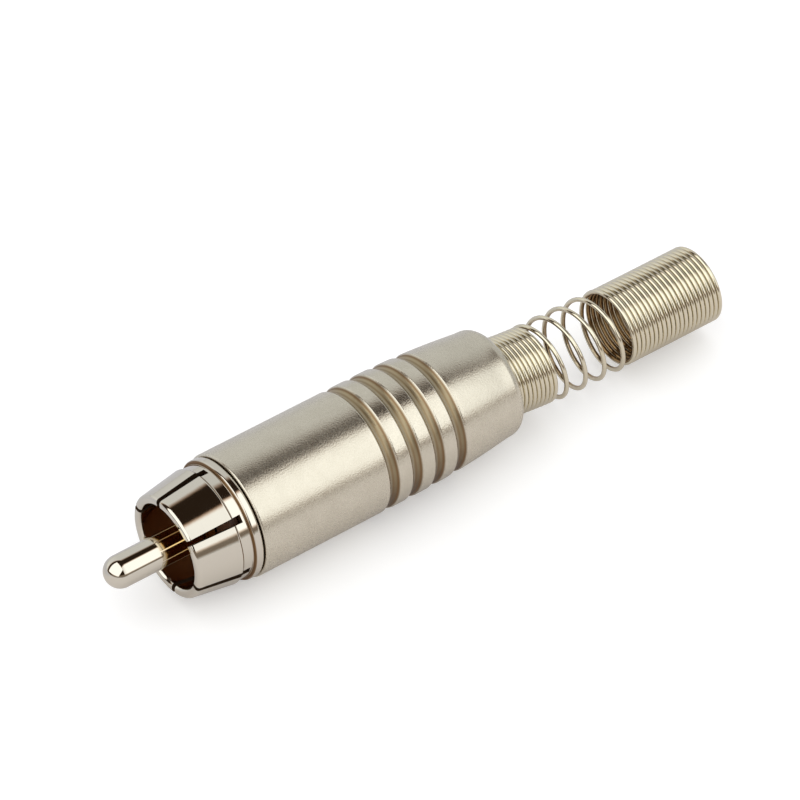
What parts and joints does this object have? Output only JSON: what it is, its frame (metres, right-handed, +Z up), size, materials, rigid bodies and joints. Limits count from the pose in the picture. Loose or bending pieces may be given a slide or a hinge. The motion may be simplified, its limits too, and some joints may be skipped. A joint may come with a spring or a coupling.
{
  "type": "rca plug",
  "caption": "Screw-on phono plug with a solid centre pin, a slotted metal crown, a grooved satin barrel and a coil-spring strain relief for the cable.",
  "frame": {"origin": "centre of the bounding box, at the bottom, where the barrel lies on the floor", "axes": "+X along the plug's axis from the pin to the cable end, +Z up, with the plug lying on its barrel"},
  "size_m": [0.0692, 0.0124, 0.0123],
  "materials": {
    "pin_nickel": "bright nickel plate",
    "contact_nickel": "bright nickel plate",
    "barrel_nickel": "satin nickel plate",
    "tinned_brass": "bright tin plate",
    "spring_wire": "bright nickel-plated wire",
    "phenolic": "brown laminate",
    "sleeve_plastic": "translucent tube"
  },
  "bodies": {
    "contact_set": {"outer_contact": "contact_nickel", "centre_pin": "pin_nickel", "front_insulator": "phenolic", "rear_insulator": "phenolic", "solder_tag": "tinned_brass", "ground_lug": "tinned_brass"},
    "sleeve": {"insulating_sleeve": "sleeve_plastic"},
    "shell": {"barrel": "barrel_nickel", "strain_relief_spring": "spring_wire"}
  },
  "joints": [
    {"name": "barrel_travel", "type": "slide", "parent": "contact_set", "child": "sleeve", "axis": [1, 0, 0], "range_m": [0, 0.00451]},
    {"name": "barrel_turn", "type": "hinge", "parent": "sleeve", "child": "shell", "pos_m": [0, 0, 0.00617], "axis": [1, 0, 0], "range_deg": [0, 2160]}
  ],
  "couplings": [
    {"joint": "barrel_travel", "follows": "barrel_turn", "m_per_rad": 0.00011937}
  ]
}
